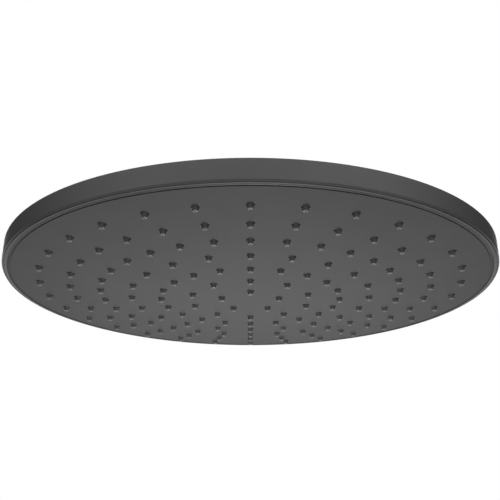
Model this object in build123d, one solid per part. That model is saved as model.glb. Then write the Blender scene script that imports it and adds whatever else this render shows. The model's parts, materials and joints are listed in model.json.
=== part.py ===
from build123d import *
from math import atan2, cos, degrees, radians, sin, sqrt
import os

# Rain shower head: a slim round head with a domed spray face that hangs on a ball swivel.
# Millimetres. The origin is the centre of the inlet thread's mouth, +Z points up out of it,
# and the face sprays down. Heights are worked out downwards from the mouth.

# Inlet connector with its ball
hex_across_flats = 27.0
hex_height = 10.0
connector_height = 22.0
connector_diameter = 27.0
connector_taper = 2.0
connector_floor = 1.5
thread_diameter = 20.955
thread_length = 12.5
thread_relief = 0.5
inlet_bore_diameter = 10.0
connector_neck_diameter = 15.0
ball_drop = 15.0
ball_diameter = 28.0
ball_outlet_land = 0.8
small_chamfer = 0.6

# What sits in the inlet
strainer_diameter = 18.4
strainer_thickness = 0.5
strainer_hole_diameter = 3.2
strainer_hole_circle = 8.6
strainer_hole_count = 6
washer_diameter = 18.5
washer_hole_diameter = 12.0
washer_thickness = 2.5
limiter_diameter = 16.0
limiter_height = 5.0
limiter_orifice_diameter = 4.0
limiter_ring_width = 1.5
limiter_ring_height = 1.8

# Ball swivel
running_clearance = 0.05
slip_ring_thickness = 1.45
slip_ring_rise = 5.5
slip_ring_drop = 2.0
nut_lip_angle = 37.0
nut_lip_height = 1.0
nut_lip_flare = 0.9
nut_top_land = 2.6
nut_wall = 3.9
nut_flats = 41.0
nut_flat_height = 8.0
nut_gap = 0.5
neck_top_drop = 4.0
neck_wall = 2.4
thread_clearance = 0.1
seal_upper_angle = 28.0
seal_lower_angle = 43.0
seal_base = 1.8
thrust_ring_thickness = 1.5
spring_height = 2.4
spring_thickness = 0.7
spring_edge_gap = 0.3

# Neck and what it clamps
neck_floor = 4.2
flange_diameter = 50.0
flange_thickness = 3.5
stem_diameter = 26.0
stem_bore_diameter = 18.0
stem_past_nut = 0.7
gasket_thickness = 1.5
gasket_inset = 1.0
stem_clearance = 0.1
lock_washer_width = 6.0
lock_washer_thickness = 1.2
lock_nut_flats = 36.0
lock_nut_height = 4.0
seal_ring_width = 2.3
seal_ring_height = 2.0

# Cover and its rim
overall_diameter = 310.0
rim_height = 13.4
wall_draft = 0.35
cover_thickness = 1.4
cover_rise = 6.5
cover_crown = 1.6
rim_edge_chamfer = 0.9
seam_chamfer = 0.3

# Trim ring round the face
seam_height = 1.5
seam_gap = 0.2
bezel_setback = 0.3
bezel_width = 3.3
bezel_bevel = 0.8
bezel_slope_height = 0.5
bezel_land = 0.4
lip_chamfer = 0.2
bezel_flange_width = 6.4
bezel_flange_height = 3.4
upstand_height = 2.0
fit_clearance = 0.1

# Spray face and nozzle mat
face_dome_radius = 1085.0
face_thickness = 1.0
face_recess = 0.2
groove_width = 1.4
outer_ring_inset = 17.0
nozzle_ring_counts = (5, 10, 20, 20, 30, 30, 30)
nozzle_sides = 8
nozzle_base_diameter = 4.7
nozzle_tip_diameter = 3.2
nozzle_reach = 2.6
nozzle_clearance = 0.1
mat_thickness = 1.5
mat_bead_width = 2.4
mat_clearance = 0.3

# Chamber plate and its fasteners
plate_thickness = 2.5
plate_clearance = 0.3
boss_wall = 7.0
rib_count = 8
rib_thickness = 1.6
rib_headroom = 2.0
rib_end_inset = 11.0
stud_count = 12
stud_diameter = 3.0
stud_hole_clearance = 0.15
stud_past_nut = 0.8
stud_nut_flats = 5.5
stud_nut_height = 2.4

# Radii and heights of the inlet
thread_radius = thread_diameter / 2
inlet_bore_radius = inlet_bore_diameter / 2
limiter_radius = limiter_diameter / 2
limiter_floor_z = connector_floor - connector_height
shoulder_z = limiter_floor_z + limiter_height

# Radii and heights of the ball swivel
ball_radius = ball_diameter / 2
ball_z = -(connector_height + ball_drop)
slip_ring_inner = ball_radius + running_clearance
slip_ring_outer = slip_ring_inner + slip_ring_thickness
pocket_radius = slip_ring_outer + running_clearance
nut_lip_z = ball_z + pocket_radius * sin(radians(nut_lip_angle))
nut_lip_radius = pocket_radius * cos(radians(nut_lip_angle))
nut_top_z = nut_lip_z + nut_lip_height
neck_thread_radius = pocket_radius + neck_wall
nut_radius = neck_thread_radius + thread_clearance + nut_wall
neck_top_z = ball_z - neck_top_drop
seal_outer = pocket_radius - running_clearance
seal_top_z = ball_z - slip_ring_inner * sin(radians(seal_upper_angle))
seal_inner = slip_ring_inner * cos(radians(seal_lower_angle))
seal_bottom_z = ball_z - slip_ring_inner * sin(radians(seal_lower_angle)) - seal_base
thrust_bottom_z = seal_bottom_z - thrust_ring_thickness
cup_floor_z = thrust_bottom_z - spring_height - running_clearance

# Heights of the neck and the cover
flange_bottom_z = cup_floor_z - neck_floor
flange_top_z = flange_bottom_z + flange_thickness
cover_top_z = flange_bottom_z - gasket_thickness
rim_top_z = cover_top_z - cover_rise
lip_z = rim_top_z - rim_height
cover_under_z = cover_top_z - cover_thickness
stem_radius = stem_diameter / 2
stem_hole_radius = stem_radius + stem_clearance

# Rim, trim ring and face
rim_radius = overall_diameter / 2
rim_top_radius = rim_radius - wall_draft
seam_z = lip_z + seam_height
bezel_top_z = seam_z - seam_gap
bezel_outer = rim_radius - bezel_setback
lip_radius = bezel_outer - bezel_width
face_radius = lip_radius - groove_width
flange_inner = lip_radius - bezel_flange_width
bezel_flange_z = lip_z + bezel_flange_height
dome_z = lip_z + face_recess + sqrt(face_dome_radius**2 - face_radius**2)
face_upper_radius = face_dome_radius - face_thickness
mat_upper_radius = face_upper_radius - mat_thickness
mat_radius = flange_inner - mat_clearance
ring_pitch = (face_radius - outer_ring_inset) / len(nozzle_ring_counts)

# Chamber plate, lock nut and studs
plate_under_z = bezel_flange_z
plate_top_z = plate_under_z + plate_thickness
upstand_z = bezel_flange_z + upstand_height
lock_washer_z = plate_under_z - lock_washer_thickness
lock_nut_z = lock_washer_z - lock_nut_height
stem_end_z = lock_nut_z - stem_past_nut
stud_circle = lip_radius - bezel_flange_width / 2
stud_radius = stud_diameter / 2
stud_hole_radius = stud_radius + stud_hole_clearance
stud_nut_top_z = plate_top_z + stud_nut_height
stud_places = PolarLocations(stud_circle, stud_count, 180 / stud_count)


def wall_inner_radius(height):
    """Inside of the drafted rim wall at a height."""
    share = (height - seam_z) / (rim_top_z - seam_z)
    return rim_radius - cover_thickness - wall_draft * share


def turned(*lines):
    """Solid turned about Z from a closed outline of lines drawn as (radius, height)."""
    return revolve(Plane.XZ * make_face(list(lines)), Axis.Z)


def turned_points(*points):
    """Solid turned about Z from a closed outline of straight runs."""
    return turned(Polyline(*points, close=True))


def ring(inner, outer, low, high):
    """Flat ring or washer."""
    return turned_points((inner, low), (outer, low), (outer, high), (inner, high))


def hex_prism(across_flats, low, high):
    """Six-sided bar along Z."""
    return Pos(0, 0, low) * extrude(RegularPolygon(across_flats / 2, 6, major_radius=False), high - low)


def ball_at(centre_z, radius):
    """Sphere on the axis, with its poles lying sideways."""
    return Pos(0, 0, centre_z) * Rot(90, 0, 0) * Sphere(radius)


def ball_connector():
    """Hexagon, round body, neck and hollow ball in one turned piece."""
    body_radius = connector_diameter / 2
    neck_radius = connector_neck_diameter / 2
    hex_corner = hex_across_flats / sqrt(3)
    hex_blank = turned_points(
        (0, -hex_height),
        (hex_corner, -hex_height),
        (hex_corner, -small_chamfer),
        (hex_corner - 2 * small_chamfer, 0),
        (0, 0),
    )
    hexagon = hex_prism(hex_across_flats, -hex_height, 0) & hex_blank
    body = turned_points(
        (0, -hex_height),
        (body_radius, -hex_height),
        (body_radius, connector_taper - connector_height),
        (neck_radius, -connector_height),
        (neck_radius, ball_z),
        (0, ball_z),
    )
    outlet_edge = inlet_bore_radius + ball_outlet_land
    ball_bottom_z = ball_z - sqrt(ball_radius**2 - outlet_edge**2)
    ball = ball_at(ball_z, ball_radius) & ring(0, ball_diameter, ball_bottom_z, 0)
    relief_radius = thread_radius + thread_relief
    passage = turned_points(
        (0, 0),
        (thread_radius, 0),
        (thread_radius, -thread_length),
        (relief_radius, -thread_length),
        (relief_radius, shoulder_z),
        (limiter_radius, shoulder_z),
        (limiter_radius, limiter_floor_z),
        (inlet_bore_radius, limiter_floor_z),
        (inlet_bore_radius, ball_z - ball_diameter),
        (0, ball_z - ball_diameter),
    )
    return hexagon + body + ball - passage


def inlet_strainer():
    """Perforated disc on the inlet's shoulder."""
    disc = ring(0, strainer_diameter / 2, shoulder_z, shoulder_z + strainer_thickness)
    hole = Pos(0, 0, shoulder_z) * Cylinder(strainer_hole_diameter / 2, 4 * strainer_thickness)
    return disc - hole - PolarLocations(strainer_hole_circle / 2, strainer_hole_count) * hole


def inlet_washer():
    """Rubber washer that the supply pipe presses on."""
    low = shoulder_z + strainer_thickness
    return ring(washer_hole_diameter / 2, washer_diameter / 2, low, low + washer_thickness)


def flow_limiter():
    """Grooved puck with an orifice, in its pocket below the strainer."""
    outer = limiter_radius - fit_clearance
    groove = limiter_radius - limiter_ring_width
    middle = shoulder_z - limiter_height / 2
    return turned_points(
        (limiter_orifice_diameter / 2, limiter_floor_z),
        (outer, limiter_floor_z),
        (outer, middle - limiter_ring_height / 2),
        (groove, middle - limiter_ring_height / 2),
        (groove, middle + limiter_ring_height / 2),
        (outer, middle + limiter_ring_height / 2),
        (outer, shoulder_z),
        (limiter_orifice_diameter / 2 + limiter_ring_height, shoulder_z),
        (limiter_orifice_diameter / 2, middle),
    )


def flow_limiter_ring():
    """Rubber ring in the limiter's groove."""
    middle = shoulder_z - limiter_height / 2
    half = limiter_ring_height / 2
    return ring(limiter_radius - limiter_ring_width, limiter_radius, middle - half, middle + half)


def ball_slip_ring():
    """Plastic ring between the ball and the nut, a zone of a hollow sphere."""
    zone = ring(0, ball_diameter, ball_z - slip_ring_drop, ball_z + slip_ring_rise)
    return (ball_at(ball_z, slip_ring_outer) & zone) - ball_at(ball_z, slip_ring_inner)


def swivel_nut():
    """Collar screwed on the neck, with a round pocket and a lip over the slip ring."""
    bottom_z = flange_top_z + nut_gap
    thread_bore = neck_thread_radius + thread_clearance
    lip_top_radius = nut_lip_radius + nut_lip_flare
    top_radius = lip_top_radius + nut_top_land
    shoulder = nut_radius - top_radius
    blank = turned_points(
        (0, bottom_z),
        (nut_radius - small_chamfer, bottom_z),
        (nut_radius, bottom_z + small_chamfer),
        (nut_radius, nut_top_z - shoulder),
        (top_radius, nut_top_z),
        (lip_top_radius, nut_top_z),
        (nut_lip_radius, nut_lip_z),
        (0, nut_lip_z),
    )
    hollow = turned_points(
        (0, bottom_z),
        (thread_bore, bottom_z),
        (thread_bore, neck_top_z + thread_clearance),
        (pocket_radius, neck_top_z + thread_clearance),
        (pocket_radius, ball_z),
        (0, ball_z),
    )
    flat = Pos(nut_flats / 2 + nut_radius, 0, bottom_z) * Box(
        2 * nut_radius, 2 * nut_radius, nut_flat_height, align=(Align.CENTER, Align.CENTER, Align.MIN)
    )
    return blank - hollow - ball_at(ball_z, pocket_radius) - flat - Rot(0, 0, 180) * flat


def ball_seal():
    """Rubber ring with a round seat under the ball."""
    blank = ring(seal_inner, seal_outer, seal_bottom_z, seal_top_z)
    return blank - ball_at(ball_z, slip_ring_inner)


def seal_thrust_ring():
    """Plastic ring that spreads the spring's push."""
    return ring(seal_inner, seal_outer, thrust_bottom_z, seal_bottom_z)


def seal_spring():
    """Cone-shaped disc spring on the neck's floor."""
    inner = seal_inner + spring_edge_gap
    outer = seal_outer - spring_edge_gap
    low = thrust_bottom_z - spring_height
    return turned_points(
        (inner, thrust_bottom_z - spring_thickness),
        (outer, low),
        (outer, low + spring_thickness),
        (inner, thrust_bottom_z),
    )


def neck():
    """Cup for the seal, thread for the nut, flange and stem in one turned piece."""
    flange_radius = flange_diameter / 2
    return turned_points(
        (pocket_radius, neck_top_z),
        (neck_thread_radius - small_chamfer, neck_top_z),
        (neck_thread_radius, neck_top_z - small_chamfer),
        (neck_thread_radius, flange_top_z),
        (flange_radius - 2 * small_chamfer, flange_top_z),
        (flange_radius, flange_top_z - small_chamfer),
        (flange_radius, flange_bottom_z),
        (stem_radius, flange_bottom_z),
        (stem_radius, stem_end_z),
        (stem_bore_diameter / 2, stem_end_z),
        (stem_bore_diameter / 2, cup_floor_z),
        (pocket_radius, cup_floor_z),
    )


def neck_gasket():
    """Flat seal between the neck's flange and the cover."""
    return ring(stem_hole_radius, flange_diameter / 2 - gasket_inset, cover_top_z, flange_bottom_z)


def top_cover():
    """Pressed cover: flat hub, gently crowned top and the rim's drafted wall, in one sheet."""
    hub_radius = flange_diameter / 2 + gasket_inset
    shoulder_radius = rim_top_radius - 2 * rim_edge_chamfer
    inner_shoulder = wall_inner_radius(rim_top_z) - rim_edge_chamfer
    middle_radius = (hub_radius + shoulder_radius) / 2
    middle_z = (cover_top_z + rim_top_z) / 2 + cover_crown
    drop = Vector(0, -cover_thickness)
    outer_hub = Vector(hub_radius, cover_top_z)
    outer_shoulder = Vector(shoulder_radius, rim_top_z)
    middle = Vector(middle_radius, middle_z)
    top = ThreePointArc(outer_hub, middle, outer_shoulder)
    rim = Polyline(
        outer_shoulder,
        (rim_top_radius - rim_edge_chamfer, rim_top_z),
        (rim_top_radius, rim_top_z - rim_edge_chamfer),
        (rim_radius, seam_z + seam_chamfer),
        (rim_radius - seam_chamfer, seam_z),
        (wall_inner_radius(seam_z), seam_z),
        (wall_inner_radius(rim_top_z), rim_top_z - cover_thickness - rim_edge_chamfer),
        (inner_shoulder, rim_top_z - cover_thickness),
        outer_shoulder + drop,
    )
    underside = ThreePointArc(outer_shoulder + drop, middle + drop, outer_hub + drop)
    hub = Polyline(
        outer_hub + drop,
        (stem_hole_radius, cover_under_z),
        (stem_hole_radius, cover_top_z),
        outer_hub,
    )
    return turned(top, rim, underside, hub)


def bezel_ring():
    """Trim ring: lip, sloped land, bevel up to the seam and a flange over the face's edge."""
    upstand_outer = wall_inner_radius(upstand_z) - fit_clearance
    upstand_inner = lip_radius + plate_clearance + fit_clearance
    lip = turned_points(
        (lip_radius, lip_z + lip_chamfer),
        (lip_radius + lip_chamfer, lip_z),
        (lip_radius + lip_chamfer + bezel_land, lip_z),
        (bezel_outer - bezel_bevel, lip_z + bezel_slope_height),
        (bezel_outer, bezel_top_z),
        (upstand_outer, bezel_top_z),
        (upstand_outer, upstand_z),
        (upstand_inner, upstand_z),
        (upstand_inner, bezel_flange_z),
        (lip_radius, bezel_flange_z),
    )
    flange = ring(flange_inner, lip_radius, lip_z, bezel_flange_z) & ball_at(dome_z, face_upper_radius)
    hole = Pos(0, 0, bezel_flange_z) * Cylinder(stud_hole_radius, 2 * bezel_flange_height)
    return lip + flange - stud_places * hole


def nozzle_ring(shape):
    """Copies of a shape at every nozzle, each raised to its ring's height on the dome."""
    copies = []
    for number, count in enumerate(nozzle_ring_counts, start=1):
        ring_radius = number * ring_pitch
        height = dome_z - sqrt(face_dome_radius**2 - ring_radius**2)
        copies += PolarLocations(ring_radius, count, -90) * (Pos(0, 0, height) * shape)
    return copies


def spray_face():
    """Shallow domed plate with a hole for each nozzle."""
    disc = ring(0, face_radius, lip_z - 2 * nozzle_reach - face_radius, bezel_flange_z)
    dome = (disc & ball_at(dome_z, face_dome_radius)) - ball_at(dome_z, face_upper_radius)
    outline = RegularPolygon(nozzle_base_diameter / 2 + nozzle_clearance, nozzle_sides, major_radius=False)
    hole = extrude(outline, 2 * face_thickness, both=True)
    return dome - nozzle_ring(hole)


def nozzle_mat():
    """Silicone sheet on the face's back, with a sealing bead round it and its nozzles in one piece."""
    disc = ring(0, mat_radius, lip_z - face_radius, bezel_flange_z)
    above_face = disc & ball_at(dome_z, face_upper_radius)
    bead = ring(mat_radius - mat_bead_width, mat_radius, lip_z - face_radius, plate_under_z)
    sheet = above_face - ball_at(dome_z, mat_upper_radius) + (bead & above_face)
    outline = RegularPolygon(nozzle_base_diameter / 2, nozzle_sides, major_radius=False)
    shank = extrude(outline, face_thickness + mat_thickness / 2)
    taper = degrees(atan2((nozzle_base_diameter - nozzle_tip_diameter) / 2, nozzle_reach))
    tip = Rot(180, 0, 0) * extrude(outline, nozzle_reach, taper=taper)
    return sheet + nozzle_ring(shank + tip)


def chamber_plate():
    """Ribbed back of the water chamber, with a boss that carries the cover."""
    plate_radius = lip_radius
    boss_radius = stem_hole_radius + boss_wall
    seal_pocket = stem_radius + seal_ring_width + fit_clearance
    blank = turned_points(
        (stem_hole_radius, plate_under_z + seal_ring_height + fit_clearance),
        (seal_pocket, plate_under_z + seal_ring_height + fit_clearance),
        (seal_pocket, plate_under_z),
        (plate_radius, plate_under_z),
        (plate_radius, plate_top_z),
        (boss_radius, plate_top_z),
        (boss_radius, cover_under_z),
        (stem_hole_radius, cover_under_z),
    )
    rib_height = rim_top_z - cover_thickness - rib_headroom - plate_top_z
    rib_start = boss_radius - boss_wall / 2
    rib_length = plate_radius - rib_end_inset - rib_start
    rib = Pos(rib_start, 0, plate_top_z) * Box(
        rib_length, rib_thickness, rib_height, align=(Align.MIN, Align.CENTER, Align.MIN)
    )
    hole = Pos(0, 0, plate_top_z) * Cylinder(stud_hole_radius, 4 * plate_thickness)
    return blank + PolarLocations(0, rib_count) * rib - stud_places * hole


def neck_seal_ring():
    """Rubber ring round the stem, in the plate's pocket."""
    inner = stem_radius + fit_clearance / 2
    return ring(inner, stem_radius + seal_ring_width, plate_under_z, plate_under_z + seal_ring_height)


def lock_washer():
    """Steel washer under the plate."""
    return ring(stem_hole_radius, stem_hole_radius + lock_washer_width, lock_washer_z, plate_under_z)


def lock_nut():
    """Thin six-sided nut on the stem."""
    bore = ring(0, stem_radius + thread_clearance, lock_nut_z, lock_washer_z)
    return hex_prism(lock_nut_flats, lock_nut_z, lock_washer_z) - bore


def face_studs():
    """Studs welded to the face's back."""
    low = lip_z - face_radius
    stud = ring(0, stud_radius, low, stud_nut_top_z + stud_past_nut)
    return Compound(children=[copy & ball_at(dome_z, face_upper_radius) for copy in stud_places * stud])


def stud_nuts():
    """Small six-sided nuts on the studs."""
    bore = ring(0, stud_radius + thread_clearance, plate_top_z, stud_nut_top_z)
    nut = hex_prism(stud_nut_flats, plate_top_z, stud_nut_top_z) - bore
    return Compound(children=stud_places * (Rot(0, 0, 30) * nut))


pieces = (
    ball_connector,
    inlet_strainer,
    inlet_washer,
    flow_limiter,
    flow_limiter_ring,
    ball_slip_ring,
    swivel_nut,
    ball_seal,
    seal_thrust_ring,
    seal_spring,
    neck,
    neck_gasket,
    top_cover,
    bezel_ring,
    spray_face,
    nozzle_mat,
    chamber_plate,
    neck_seal_ring,
    lock_washer,
    lock_nut,
    face_studs,
    stud_nuts,
)

os.makedirs("parts", exist_ok=True)
for piece in pieces:
    export_step(piece(), f"parts/{piece.__name__}.step")
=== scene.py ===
import json
from math import acos, atan2, cos, hypot, pi, radians, sin, sqrt
import bmesh
import bpy
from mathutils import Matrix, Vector


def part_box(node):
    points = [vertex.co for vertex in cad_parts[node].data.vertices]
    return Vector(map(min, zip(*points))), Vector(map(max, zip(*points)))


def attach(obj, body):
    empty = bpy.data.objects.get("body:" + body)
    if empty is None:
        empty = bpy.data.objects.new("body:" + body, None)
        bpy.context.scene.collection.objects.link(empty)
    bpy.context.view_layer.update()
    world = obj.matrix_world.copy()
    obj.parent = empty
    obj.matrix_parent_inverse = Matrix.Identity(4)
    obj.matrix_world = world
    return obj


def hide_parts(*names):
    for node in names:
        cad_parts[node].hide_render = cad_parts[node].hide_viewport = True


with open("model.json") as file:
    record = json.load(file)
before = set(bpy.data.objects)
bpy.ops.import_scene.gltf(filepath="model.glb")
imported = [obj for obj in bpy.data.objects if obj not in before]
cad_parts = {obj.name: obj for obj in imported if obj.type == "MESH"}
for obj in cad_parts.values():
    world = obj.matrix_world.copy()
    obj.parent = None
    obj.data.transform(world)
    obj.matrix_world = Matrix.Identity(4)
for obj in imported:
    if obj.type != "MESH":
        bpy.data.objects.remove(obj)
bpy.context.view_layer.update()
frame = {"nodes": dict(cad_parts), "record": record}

# Rain shower head, seen from below and in front: a slim satin graphite disc with a domed spray face
# full of silicone nozzles, hung on a ball swivel. Sizes are millimetres, and MM makes them metres.
MM = 0.001

# Roundness of the meshes
RIM_STEPS = 180
FITTING_STEPS = 120
THREAD_STEPS = 48
NOZZLE_STEPS = 20
CORNER_STEPS = 5
SHARP_ANGLE = radians(32)
FLAT_ANGLE = radians(19)
WELD = 0.002

# Cover and its rim
sheet = 1.4
cover_crown = 1.6
hub_margin = 1.0
wall_draft = 0.35
rim_rounding = 0.9
seam_rounding = 0.3
crown_steps = 24

# Trim ring: bevel under the rim, fine line at the bevel's foot, land, bead, lip and hidden flange
rim_height = 13.4
seam_gap = 0.04
trim_setback = 0.05
trim_bevel = 0.55
seam_line_width = 0.42
seam_line_depth = 0.7
trim_width = 3.55
land_rise = 0.4
bead_width = 0.9
bead_slope = 0.4
bead_height = 0.36
bead_rounding = 0.38
lip_relief = 0.4
lip_rounding = 0.1
edge_rounding = 0.06
flange_width = 6.4
flange_height = 3.4
upstand_gap = 0.1
plate_gap = 0.3
stud_count = 12
stud_hole_radius = 1.65

# Black sheet in the groove between the trim ring and the face: painted shade that keeps the groove dark
# where lamps would light it, shaped like a rubber seal
liner_gap = 0.03
liner_leg = 0.06
liner_roof = 0.2
liner_depth = 0.6

# Spray face, its nozzles and the silicone sheet that carries them
face_recess = 0.2
face_sheet = 1.0
face_trim = 0.1
dome_steps = 20
outer_ring_inset = 17.0
ring_counts = (5, 10, 20, 20, 30, 30, 30)
hole_radius = 2.3
hole_flare = 0.05
nozzle_root_radius = 1.8
nozzle_tip_radius = 1.55
nozzle_reach = 2.6
tip_rounding = 0.35
orifice_radius = 0.55
orifice_depth = 1.2
mat_sheet = 1.5
mat_bead = 2.4

# Inlet fitting, with the thread ridge's half widths as shares of the pitch
hex_flats = 27.0
hex_height = 10.0
hex_cone_slope = 0.5
fitting_height = 22.0
fitting_taper = 2.0
small_chamfer = 0.6
thread_radius = 10.4775
thread_crest = 9.32
thread_pitch = 1.814
thread_length = 12.5
thread_relief = 0.5
ridge_root_share = 0.4
ridge_crest_share = 0.1
limiter_pocket = 8.0
shoulder_drop = 15.5
pocket_drop = 20.5
bore_radius = 5.0
outlet_land = 0.8
fitting_neck_radius = 7.5
ball_radius = 14.0
ball_drop = 37.0
ball_steps = 20

# Swivel collar and neck
socket_radius = 15.55
socket_steps = 8
collar_bore = 18.05
collar_lip_angle = 37.0
collar_lip_flare = 0.9
collar_top_land = 2.6
collar_flats = 41.0
collar_flat_height = 8.0
flat_ledge = 0.1
neck_thread = 17.95
neck_flange = 3.5
stem_radius = 13.0
stem_bore = 9.0
cup_floor = -52.33
fit_gap = 0.1
fine_rounding = 0.1

# Finishes, with the patterns' scale for each metre
pattern_low = 0.3
pattern_high = 0.7
cloud_scale = 40.0
cloud_detail = 3.0
grain_scale = 2500.0
silicone_grain_scale = 1500.0
grain_detail = 2.0
grain_relief = 0.01
grain_strength = 0.3
tone_swing = 0.025
gloss_swing = 0.04
graphite = (0.098, 0.098, 0.1)
trim_graphite = (0.082, 0.082, 0.084)
silicone_grey = (0.12, 0.12, 0.121)
# Black of the rubber parts, also used for the groove liner that paints the groove's shade
rubber_and_shade_black = (0.02, 0.02, 0.02)
slip_white = (0.75, 0.75, 0.72)
limiter_green = (0.1, 0.3, 0.16)
chamber_black = (0.03, 0.03, 0.031)
plain_brass = (0.75, 0.53, 0.22)
plain_steel = (0.6, 0.6, 0.6)

# Studio, with its lengths in metres
world_light = 0.02
floor_reach = 12.0
floor_drop = 1.6
floor_glow = 0.65
floor_patch_scale = 3.0
floor_patch_detail = 2.0
floor_dark = 0.79
floor_light = 0.81
floor_roughness = 0.9
floor_specular = 0.1

# Camera, from the photograph
photo_width = 500
focal_pixels = 860.9
sensor_width = 36.0
camera_back = 526.3
camera_under_lip = 176.2
camera_pitch = 20.83
half_pixel = 0.5 / photo_width


def solid_box(node):
    """Lowest and highest corner of a solid, in millimetres."""
    low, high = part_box(node)
    return low / MM, high / MM


# What the solids' own boxes give
cover_low, cover_high = solid_box("top_cover")
trim_low, trim_high = solid_box("bezel_ring")
face_low, face_high = solid_box("spray_face")
_, mat_high = solid_box("nozzle_mat")
collar_low, collar_high = solid_box("swivel_nut")
neck_low, neck_high = solid_box("neck")
_, gasket_high = solid_box("neck_gasket")
_, fitting_high = solid_box("ball_connector")
rim_radius = cover_high.x
seam_z = cover_low.z
cover_top_z = cover_high.z
lip_z = trim_low.z
rim_top_z = lip_z + rim_height
rim_top_radius = rim_radius - wall_draft
trim_radius = rim_radius - trim_setback
lip_radius = trim_radius - trim_width
lip_edge = lip_radius + lip_relief
face_radius = face_high.x
face_edge = face_radius - face_trim
face_edge_z = lip_z + face_recess
dome_sag = face_edge_z - face_low.z
dome_radius = (face_radius**2 + dome_sag**2) / (2 * dome_sag)
dome_centre_z = face_low.z + dome_radius
ring_pitch = (face_radius - outer_ring_inset) / len(ring_counts)
head_middle = Vector((0, 0, lip_z * MM))


# Ways to make a mesh
def turned(outline, steps):
    """Closed mesh turned about Z from corners of (radius, height); a third number rounds the corner."""
    mesh = bmesh.new()
    corners = []
    for radius, height, *_ in outline:
        corners.append(mesh.verts.new((radius * MM, 0, height * MM)))
    mesh.faces.new(corners)
    for corner, (_, _, *rounding) in zip(corners, outline):
        if rounding:
            bmesh.ops.bevel(
                mesh,
                geom=[corner],
                offset=rounding[0] * MM,
                offset_type="OFFSET",
                affect="VERTICES",
                segments=CORNER_STEPS,
                profile=0.5,
                material=-1,
            )
    bmesh.ops.delete(mesh, geom=mesh.faces[:], context="FACES_ONLY")
    on_axis = [edge for edge in mesh.edges if max(vert.co.x for vert in edge.verts) < WELD * MM]
    bmesh.ops.delete(mesh, geom=on_axis, context="EDGES")
    bmesh.ops.spin(
        mesh,
        geom=mesh.verts[:] + mesh.edges[:],
        cent=(0, 0, 0),
        axis=(0, 0, 1),
        angle=2 * pi,
        steps=steps,
        use_merge=True,
    )
    bmesh.ops.remove_doubles(mesh, verts=mesh.verts, dist=WELD * MM)
    bmesh.ops.recalc_face_normals(mesh, faces=mesh.faces)
    return mesh


def repeated(mesh, places):
    """A mesh with a copy of its shape at every place, and none where it was made."""
    first_verts = mesh.verts[:]
    pattern = first_verts + mesh.edges[:] + mesh.faces[:]
    for place in places:
        copy = bmesh.ops.duplicate(mesh, geom=pattern)
        verts = [part for part in copy["geom"] if isinstance(part, bmesh.types.BMVert)]
        bmesh.ops.translate(mesh, verts=verts, vec=place)
    bmesh.ops.delete(mesh, geom=first_verts, context="VERTS")
    return mesh


def joined(mesh, other):
    """A mesh with another put into it."""
    data = bpy.data.meshes.new("joined")
    other.to_mesh(data)
    other.free()
    mesh.from_mesh(data)
    bpy.data.meshes.remove(data)
    return mesh


def shade(mesh, sharp_angle):
    """Smooth faces that stay crisp at sharp edges."""
    for edge in mesh.edges:
        edge.smooth = edge.calc_face_angle(0) < sharp_angle
    for face in mesh.faces:
        face.smooth = True


def thing_of(name, mesh, sharp_angle=SHARP_ANGLE):
    """Object with a finished mesh."""
    shade(mesh, sharp_angle)
    data = bpy.data.meshes.new(name)
    mesh.to_mesh(data)
    mesh.free()
    thing = bpy.data.objects.new(name, data)
    bpy.context.scene.collection.objects.link(thing)
    return thing


def drilled(plate, drills):
    """Cuts the drills out of a plate for good."""
    cut = plate.modifiers.new("drilled", "BOOLEAN")
    cut.operation = "DIFFERENCE"
    cut.solver = "EXACT"
    cut.object = drills
    holed = bpy.data.meshes.new_from_object(plate.evaluated_get(bpy.context.evaluated_depsgraph_get()))
    plate.modifiers.remove(cut)
    bpy.data.objects.remove(drills)
    mesh = bmesh.new()
    mesh.from_mesh(holed)
    bmesh.ops.remove_doubles(mesh, verts=mesh.verts, dist=WELD * MM)
    shade(mesh, SHARP_ANGLE)
    mesh.to_mesh(plate.data)
    mesh.free()
    bpy.data.meshes.remove(holed)


# Lines and places that several pieces share
def arc_through(start, middle, end, steps):
    """Points of the arc through three points of an outline."""
    (ax, ay), (bx, by), (cx, cy) = start, middle, end
    span = 2 * (ax * (by - cy) + bx * (cy - ay) + cx * (ay - by))
    a_square = ax * ax + ay * ay
    b_square = bx * bx + by * by
    c_square = cx * cx + cy * cy
    x = (a_square * (by - cy) + b_square * (cy - ay) + c_square * (ay - by)) / span
    y = (a_square * (cx - bx) + b_square * (ax - cx) + c_square * (bx - ax)) / span
    first = atan2(ay - y, ax - x)
    last = atan2(cy - y, cx - x)
    radius = hypot(ax - x, ay - y)
    turns = [first + (last - first) * step / steps for step in range(steps + 1)]
    return [(x + radius * cos(turn), y + radius * sin(turn)) for turn in turns]


def dome_height(radius, inward=0.0):
    """Height of the spray face's dome at a radius, or of a dome that much further in."""
    return dome_centre_z - sqrt((dome_radius - inward) ** 2 - radius**2)


def dome_arc(start, end, inward=0.0):
    """Outline points along the dome between two radii."""
    radii = [start + (end - start) * step / dome_steps for step in range(dome_steps + 1)]
    return [(radius, dome_height(radius, inward)) for radius in radii]


def nozzle_places():
    """Foot of every nozzle on the dome, ring by ring, each ring from the front."""
    places = []
    for number, count in enumerate(ring_counts, start=1):
        radius = number * ring_pitch
        for step in range(count):
            turn = 2 * pi * step / count - pi / 2
            places.append(Vector((radius * cos(turn), radius * sin(turn), dome_height(radius))) * MM)
    return places


def wall_inside(height):
    """Inner radius of the rim's drafted wall."""
    return rim_radius - sheet - wall_draft * (height - seam_z) / (rim_top_z - seam_z)


def socket_point(turn):
    """Point of the collar's round socket, as (radius, height), at an angle above the ball's middle."""
    return socket_radius * cos(turn), socket_radius * sin(turn) - ball_drop


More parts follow.
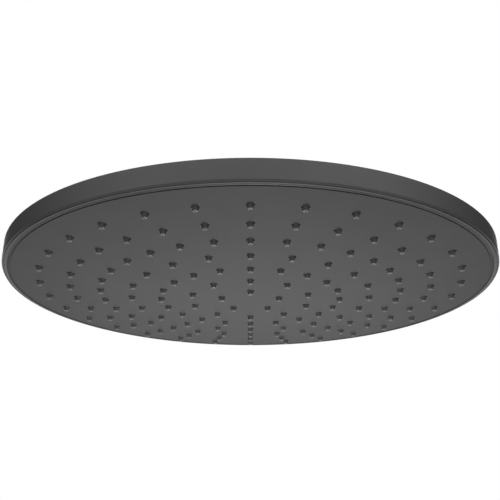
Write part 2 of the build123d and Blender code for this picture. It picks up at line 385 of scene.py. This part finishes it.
# Pieces of the head
def rim_cover():
    """Pressed cover with a flat hub, a crowned top and the rim's wall."""
    hub_radius = neck_high.x + hub_margin
    shoulder = rim_top_radius - 2 * rim_rounding
    middle = ((hub_radius + shoulder) / 2, (cover_top_z + rim_top_z) / 2 + cover_crown)
    top = arc_through((hub_radius, cover_top_z), middle, (shoulder, rim_top_z), crown_steps)
    under = [(radius, height - sheet) for radius, height in reversed(top)]
    hole = stem_radius + fit_gap
    outline = top + [
        (rim_top_radius, rim_top_z, rim_rounding),
        (rim_radius, seam_z + seam_rounding),
        (rim_radius, seam_z, seam_rounding),
        (wall_inside(seam_z), seam_z),
        (wall_inside(rim_top_z), rim_top_z - sheet, rim_rounding),
    ] + under + [(hole, cover_top_z - sheet), (hole, cover_top_z)]
    return thing_of("rim_cover", turned(outline, RIM_STEPS))


def stud_drills():
    """A drill for every stud's hole in the trim ring's flange."""
    drill = turned(
        [
            (0, lip_z),
            (stud_hole_radius, lip_z),
            (stud_hole_radius, cover_top_z),
            (0, cover_top_z),
        ],
        NOZZLE_STEPS,
    )
    circle = lip_radius - flange_width / 2
    turns = [2 * pi * (step + 0.5) / stud_count for step in range(stud_count)]
    places = [Vector((circle * cos(turn), circle * sin(turn), 0)) * MM for turn in turns]
    return thing_of("stud_drills", repeated(drill, places))


def trim_ring():
    """Trim ring with its rounded lip, sloped land and the drilled flange behind the face's edge."""
    line_radius = trim_radius - trim_bevel
    land_z = lip_z + land_rise
    line_z = land_z + seam_line_depth
    bevel_z = land_z + seam_line_width / 2
    top_z = seam_z - seam_gap
    flange_z = lip_z + flange_height
    flange_radius = lip_radius - flange_width
    upstand_z = trim_high.z
    upstand_outer = wall_inside(upstand_z) - upstand_gap
    upstand_inner = lip_radius + plate_gap + upstand_gap
    outline = dome_arc(flange_radius, lip_radius, face_sheet) + [
        (lip_edge, lip_z, lip_rounding),
        (lip_edge + bead_width - bead_slope, lip_z, bead_rounding),
        (lip_edge + bead_width, lip_z + bead_height, edge_rounding),
        (line_radius - seam_line_width, land_z),
        (line_radius - seam_line_width, line_z),
        (line_radius, line_z),
        (line_radius, bevel_z),
        (trim_radius, top_z, edge_rounding),
        (upstand_outer, top_z),
        (upstand_outer, upstand_z),
        (upstand_inner, upstand_z),
        (upstand_inner, flange_z),
        (flange_radius, flange_z),
    ]
    ring = thing_of("trim_ring", turned(outline, RIM_STEPS))
    drilled(ring, stud_drills())
    return ring


def groove_shade_liner():
    """Black liner in the groove round the face, painted shade for the groove, with legs that line the
    face's edge and the lip.
    """
    inner = face_edge + liner_gap
    inner_leg_z = dome_height(face_edge) + liner_gap
    outer = lip_radius - liner_gap
    outer_leg = lip_edge - liner_gap
    outer_leg_z = lip_z + liner_gap
    roof_z = lip_z + liner_depth
    outline = [
        (inner, inner_leg_z),
        (inner + liner_leg, inner_leg_z),
        (inner + liner_leg, roof_z),
        (outer - liner_leg, roof_z),
        (outer_leg - liner_leg, outer_leg_z),
        (outer_leg, outer_leg_z),
        (outer, roof_z + liner_roof),
        (inner, roof_z + liner_roof),
    ]
    return thing_of("groove_shade_liner", turned(outline, RIM_STEPS))


def nozzle_drills():
    """A drill with a flared mouth for every nozzle's hole."""
    reach = 2 * face_sheet
    drill = turned(
        [
            (0, -reach),
            (hole_radius + hole_flare + reach, -reach),
            (hole_radius, hole_flare),
            (hole_radius, reach),
            (0, reach),
        ],
        NOZZLE_STEPS,
    )
    return thing_of("nozzle_drills", repeated(drill, nozzle_places()))


def spray_plate():
    """Domed face with a flared round hole for every nozzle."""
    outline = dome_arc(0, face_edge) + list(reversed(dome_arc(0, face_edge, face_sheet)))
    plate = thing_of("spray_plate", turned(outline, RIM_STEPS))
    drilled(plate, nozzle_drills())
    return plate


def nozzle_sheet():
    """Silicone sheet behind the face, with a bead round it and a soft-tipped nozzle in every hole."""
    radius = mat_high.x
    bead = radius - mat_bead
    back = face_sheet + mat_sheet
    outline = dome_arc(0, radius, face_sheet) + [
        (radius, mat_high.z),
        (bead, mat_high.z),
    ] + list(reversed(dome_arc(0, bead, back)))
    mat = turned(outline, FITTING_STEPS)
    root = face_sheet + mat_sheet / 2
    nozzle = turned(
        [
            (0, root),
            (nozzle_root_radius, root),
            (nozzle_tip_radius, -nozzle_reach, tip_rounding),
            (orifice_radius, -nozzle_reach),
            (orifice_radius, orifice_depth - nozzle_reach),
            (0, orifice_depth - nozzle_reach),
        ],
        NOZZLE_STEPS,
    )
    return thing_of("nozzle_sheet", joined(mat, repeated(nozzle, nozzle_places())))


# Pieces of the swivel
def swivel_collar():
    """Round collar with a lip over the ball's slip ring and two flats for a spanner."""
    lip_turn = radians(collar_lip_angle)
    socket = [socket_point(lip_turn * step / socket_steps) for step in range(socket_steps, -1, -1)]
    mouth_radius = socket[0][0] + collar_lip_flare
    top_radius = mouth_radius + collar_top_land
    radius = collar_high.y
    flat_z = collar_low.z + collar_flat_height
    room_z = neck_high.z + fit_gap
    outline = [
        (collar_bore, collar_low.z),
        (radius, collar_low.z, small_chamfer),
        (radius, flat_z),
        (radius, flat_z + flat_ledge),
        (radius, collar_high.z - (radius - top_radius), small_chamfer),
        (top_radius, collar_high.z, small_chamfer),
        (mouth_radius, collar_high.z, fine_rounding),
    ] + socket + [(socket_radius, room_z), (collar_bore, room_z)]
    mesh = turned(outline, FITTING_STEPS)
    flat = collar_flats / 2 * MM
    for vert in mesh.verts:
        if vert.co.z < (flat_z + flat_ledge / 2) * MM:
            vert.co.x = max(-flat, min(flat, vert.co.x))
    return thing_of("swivel_collar", mesh, FLAT_ANGLE)


def flanged_neck():
    """Threaded cup for the ball's seal, with the flange that clamps the cover and the stem below it."""
    flange_low = gasket_high.z
    flange_high = flange_low + neck_flange
    outline = [
        (socket_radius, neck_high.z),
        (neck_thread, neck_high.z, small_chamfer),
        (neck_thread, flange_high, small_chamfer),
        (neck_high.x, flange_high, 2 * small_chamfer),
        (neck_high.x, flange_low, fine_rounding),
        (stem_radius, flange_low),
        (stem_radius, neck_low.z, small_chamfer),
        (stem_bore, neck_low.z),
        (stem_bore, cup_floor),
        (socket_radius, cup_floor),
    ]
    return thing_of("flanged_neck", turned(outline, FITTING_STEPS))


def hexed(mesh):
    """Presses the top of a round blank to six flats, with a cone across their upper corners."""
    cone_radius = fitting_high.x - 2 * small_chamfer
    for vert in mesh.verts:
        radius = hypot(vert.co.x, vert.co.y) / MM
        if vert.co.z < -(hex_height + WELD) * MM or radius < hex_flats / 2:
            continue
        side = atan2(vert.co.y, vert.co.x) % (pi / 3) - pi / 6
        flat = hex_flats / 2 / cos(side)
        if radius > flat:
            vert.co.x *= flat / radius
            vert.co.y *= flat / radius
            if -2 * small_chamfer * MM < vert.co.z < 0:
                vert.co.z = min(0, cone_radius - flat) * hex_cone_slope * MM


def thread_ridge():
    """One helical ridge of the inlet's thread, from the mouth down to the relief."""
    mesh = bmesh.new()
    root = thread_radius + fit_gap
    section = [
        (root, -ridge_root_share),
        (root, ridge_root_share),
        (thread_crest, ridge_crest_share),
        (thread_crest, -ridge_crest_share),
    ]
    corners = []
    for radius, share in section:
        height = share * thread_pitch - thread_pitch / 2
        corners.append(mesh.verts.new((radius * MM, 0, height * MM)))
    loop = [mesh.edges.new((corners[place - 1], corners[place])) for place in range(len(corners))]
    turns = int(thread_length / thread_pitch)
    bmesh.ops.spin(
        mesh,
        geom=corners + loop,
        cent=(0, 0, 0),
        axis=(0, 0, 1),
        dvec=(0, 0, -thread_pitch * MM / THREAD_STEPS),
        angle=2 * pi * turns,
        steps=THREAD_STEPS * turns,
    )
    bmesh.ops.holes_fill(mesh, edges=mesh.edges)
    bmesh.ops.recalc_face_normals(mesh, faces=mesh.faces)
    return mesh


def inlet_fitting():
    """Hexagon with the inlet thread, tapered body, neck and the hollow ball."""
    outlet = bore_radius + outlet_land
    low_turn = -acos(outlet / ball_radius)
    high_turn = acos(fitting_neck_radius / ball_radius)
    turns = [low_turn + (high_turn - low_turn) * step / ball_steps for step in range(ball_steps + 1)]
    ball = [(ball_radius * cos(turn), ball_radius * sin(turn) - ball_drop) for turn in turns]
    body_radius = hex_flats / 2 - flat_ledge
    corner = fitting_high.x
    outline = [
        (corner - 2 * small_chamfer, 0),
        (thread_radius + small_chamfer, 0),
        (thread_radius, -small_chamfer),
        (thread_radius, -thread_length),
        (thread_radius + thread_relief, -thread_length),
        (thread_radius + thread_relief, -shoulder_drop),
        (limiter_pocket, -shoulder_drop),
        (limiter_pocket, -pocket_drop),
        (bore_radius, -pocket_drop),
        (bore_radius, ball[0][1]),
    ] + ball + [
        (fitting_neck_radius, -fitting_height, small_chamfer),
        (body_radius, fitting_taper - fitting_height, small_chamfer),
        (body_radius, -hex_height),
        (corner, -hex_height),
        (corner, -small_chamfer),
    ]
    mesh = turned(outline, FITTING_STEPS)
    hexed(mesh)
    bmesh.ops.remove_doubles(mesh, verts=mesh.verts, dist=WELD * MM)
    bmesh.ops.recalc_face_normals(mesh, faces=mesh.faces)
    return thing_of("inlet_fitting", joined(mesh, thread_ridge()), FLAT_ANGLE)


# Finishes, kept by the name of their slot
finishes = {}


def finish_tree(name):
    """New material with its node tree, its shader and its texture coordinates."""
    finish = bpy.data.materials.new(name)
    finish.use_nodes = True
    tree = finish.node_tree
    return finish, tree, tree.nodes["Principled BSDF"], tree.nodes.new("ShaderNodeTexCoord")


def noise(tree, place, scale, detail):
    """Noise pattern on object coordinates."""
    pattern = tree.nodes.new("ShaderNodeTexNoise")
    pattern.inputs["Scale"].default_value = scale
    pattern.inputs["Detail"].default_value = detail
    tree.links.new(place.outputs["Object"], pattern.inputs["Vector"])
    return pattern.outputs["Fac"]


def spread(tree, source, low, high):
    """Noise mapped to a range of values."""
    mapped = tree.nodes.new("ShaderNodeMapRange")
    mapped.inputs["From Min"].default_value = pattern_low
    mapped.inputs["From Max"].default_value = pattern_high
    mapped.inputs["To Min"].default_value = low
    mapped.inputs["To Max"].default_value = high
    tree.links.new(source, mapped.inputs["Value"])
    return mapped.outputs["Result"]


def tones(tree, source, dark, light):
    """Noise mapped to two close tones."""
    ramp = tree.nodes.new("ShaderNodeValToRGB")
    ramp.color_ramp.elements[0].position = pattern_low
    ramp.color_ramp.elements[0].color = (*dark, 1)
    ramp.color_ramp.elements[1].position = pattern_high
    ramp.color_ramp.elements[1].color = (*light, 1)
    tree.links.new(source, ramp.inputs["Fac"])
    return ramp.outputs["Color"]


def bumped(tree, shader, source):
    """Fine relief from a pattern."""
    bump = tree.nodes.new("ShaderNodeBump")
    bump.inputs["Distance"].default_value = grain_relief * MM
    bump.inputs["Strength"].default_value = grain_strength
    tree.links.new(source, bump.inputs["Height"])
    tree.links.new(bump.outputs["Normal"], shader.inputs["Normal"])


def grained(name, colour, roughness, specular, metallic=0.0, grain=grain_scale):
    """Finish with clouded tone, uneven gloss and a fine grain."""
    finish, tree, shader, place = finish_tree(name)
    clouds = noise(tree, place, cloud_scale, cloud_detail)
    fine = noise(tree, place, grain, grain_detail)
    dark = [value * (1 - tone_swing) for value in colour]
    light = [value * (1 + tone_swing) for value in colour]
    gloss = spread(tree, fine, roughness - gloss_swing, roughness + gloss_swing)
    tree.links.new(tones(tree, clouds, dark, light), shader.inputs["Base Color"])
    tree.links.new(gloss, shader.inputs["Roughness"])
    shader.inputs["Specular IOR Level"].default_value = specular
    shader.inputs["Metallic"].default_value = metallic
    bumped(tree, shader, fine)
    finishes[name] = finish


grained("cover_finish", graphite, roughness=0.55, specular=0.004)
grained("bezel_finish", trim_graphite, roughness=0.3, specular=0.1)
grained("face_finish", graphite, roughness=0.5, specular=0.012)
grained("fitting_finish", graphite, roughness=0.45, specular=0.25)
grained("nozzle_silicone", silicone_grey, roughness=0.28, specular=0.4, grain=silicone_grain_scale)
grained("seal_rubber", rubber_and_shade_black, roughness=0.6, specular=0.4)
grained("slip_plastic", slip_white, roughness=0.4, specular=0.5)
grained("limiter_plastic", limiter_green, roughness=0.4, specular=0.5)
grained("chamber_plastic", chamber_black, roughness=0.5, specular=0.4)
grained("lock_nut_brass", plain_brass, roughness=0.3, specular=0.5, metallic=1.0)
grained("stainless_steel", plain_steel, roughness=0.3, specular=0.5, metallic=1.0)

for entry in frame["record"]["subparts"]:
    for slot in frame["nodes"][entry["node"]].material_slots:
        slot.material = finishes[entry["material_slot"]]


# Pieces in place of their solids, and the black groove liner of painted shade that has none
def fit(thing, finish, body, *nodes):
    """Gives a piece its finish, evens its shading and puts it in place of its solids."""
    thing.data.materials.clear()
    thing.data.materials.append(finishes[finish])
    evened = thing.modifiers.new("even shading", "WEIGHTED_NORMAL")
    evened.keep_sharp = True
    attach(thing, body)
    if nodes:
        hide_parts(*nodes)


fit(rim_cover(), "cover_finish", "head", "top_cover")
fit(trim_ring(), "bezel_finish", "head", "bezel_ring")
# Black groove liner: painted shade in the rubber finish, not a real part
fit(groove_shade_liner(), "seal_rubber", "head")
fit(spray_plate(), "face_finish", "head", "spray_face")
fit(nozzle_sheet(), "nozzle_silicone", "head", "nozzle_mat")
fit(swivel_collar(), "fitting_finish", "head", "swivel_nut")
fit(flanged_neck(), "fitting_finish", "head", "neck")
fit(inlet_fitting(), "fitting_finish", "connector", "ball_connector")


# Studio
def seen_directly(tree):
    """One for what the eye, a reflection or glass sees, and none for the light on other surfaces."""
    path = tree.nodes.new("ShaderNodeLightPath")
    seen = path.outputs["Is Camera Ray"]
    for kind in ("Is Glossy Ray", "Is Transmission Ray"):
        either = tree.nodes.new("ShaderNodeMath")
        either.operation = "ADD"
        either.use_clamp = True
        tree.links.new(seen, either.inputs[0])
        tree.links.new(path.outputs[kind], either.inputs[1])
        seen = either.outputs[0]
    return seen


def studio_world():
    """White surroundings for the eye and for reflections, and a softer light for everything else."""
    world = bpy.data.worlds.new("studio")
    world.use_nodes = True
    tree = world.node_tree
    white = tree.nodes["Background"]
    white.inputs["Color"].default_value = (1, 1, 1, 1)
    white.inputs["Strength"].default_value = 1.0
    soft = tree.nodes.new("ShaderNodeBackground")
    soft.inputs["Color"].default_value = (1, 1, 1, 1)
    soft.inputs["Strength"].default_value = world_light
    mix = tree.nodes.new("ShaderNodeMixShader")
    tree.links.new(seen_directly(tree), mix.inputs["Fac"])
    tree.links.new(soft.outputs["Background"], mix.inputs[1])
    tree.links.new(white.outputs["Background"], mix.inputs[2])
    tree.links.new(mix.outputs["Shader"], tree.nodes["World Output"].inputs["Surface"])
    bpy.context.scene.world = world


def pale_floor():
    """Plain pale floor that takes the object's shadow and shows as near white."""
    mesh = bmesh.new()
    bmesh.ops.create_grid(mesh, x_segments=1, y_segments=1, size=floor_reach)
    bmesh.ops.translate(mesh, verts=mesh.verts, vec=(0, 0, -floor_drop))
    floor = thing_of("floor", mesh)
    finish, tree, shader, place = finish_tree("pale_floor")
    patches = noise(tree, place, floor_patch_scale, floor_patch_detail)
    tint = tones(tree, patches, (floor_dark,) * 3, (floor_light,) * 3)
    tree.links.new(tint, shader.inputs["Base Color"])
    shader.inputs["Roughness"].default_value = floor_roughness
    shader.inputs["Specular IOR Level"].default_value = floor_specular
    shader.inputs["Emission Color"].default_value = (1, 1, 1, 1)
    share = tree.nodes.new("ShaderNodeMath")
    share.operation = "MULTIPLY"
    share.inputs[1].default_value = floor_glow
    tree.links.new(seen_directly(tree), share.inputs[0])
    tree.links.new(share.outputs[0], shader.inputs["Emission Strength"])
    floor.data.materials.append(finish)


def lamp(name, turn, rise, distance, width, height, power):
    """Soft lamp that faces the head, at degrees round it from the front and above its lip."""
    light = bpy.data.lights.new(name, "AREA")
    light.shape = "RECTANGLE"
    light.size = width
    light.size_y = height
    light.energy = power
    level = cos(radians(rise))
    away = Vector((sin(radians(turn)) * level, -cos(radians(turn)) * level, sin(radians(rise))))
    holder = bpy.data.objects.new(name, light)
    holder.location = head_middle + distance * away
    holder.rotation_euler = away.to_track_quat("Z", "Y").to_euler()
    holder.visible_camera = False
    bpy.context.scene.collection.objects.link(holder)


studio_world()
pale_floor()
lamp("left front lamp", turn=-22, rise=9, distance=0.26, width=0.1, height=0.04, power=0.06)
lamp("right front lamp", turn=22, rise=9, distance=0.26, width=0.1, height=0.04, power=0.072)
lamp("middle front lamp", turn=0, rise=-20, distance=1.2, width=0.14, height=0.14, power=3.0)
lamp("lamp below", turn=0, rise=-90, distance=0.27, width=0.12, height=0.12, power=0.58)
lamp("far lamp below", turn=172, rise=-50, distance=0.7, width=0.3, height=0.3, power=0.8)
lamp("key lamp", turn=0, rise=60, distance=1.2, width=0.6, height=0.6, power=4.0)
lamp("upper lamp", turn=0, rise=85, distance=1.4, width=0.8, height=0.8, power=7.0)
lamp("left rear lamp", turn=-155, rise=25, distance=1.5, width=0.5, height=0.5, power=6.0)
lamp("right rear lamp", turn=155, rise=25, distance=1.5, width=0.5, height=0.5, power=6.0)


# Camera
def photo_camera():
    """Camera that sees the head from below and in front, as the photograph does."""
    optics = bpy.data.cameras.new("photo camera")
    optics.sensor_width = sensor_width
    optics.lens = sensor_width * focal_pixels / photo_width
    optics.shift_x = -half_pixel
    optics.shift_y = half_pixel
    camera = bpy.data.objects.new("photo camera", optics)
    camera.location = Vector((0, -camera_back, lip_z - camera_under_lip)) * MM
    camera.rotation_euler = (radians(90 + camera_pitch), 0, 0)
    bpy.context.scene.collection.objects.link(camera)
    bpy.context.scene.camera = camera


photo_camera()
bpy.context.scene.view_settings.view_transform = "Standard"
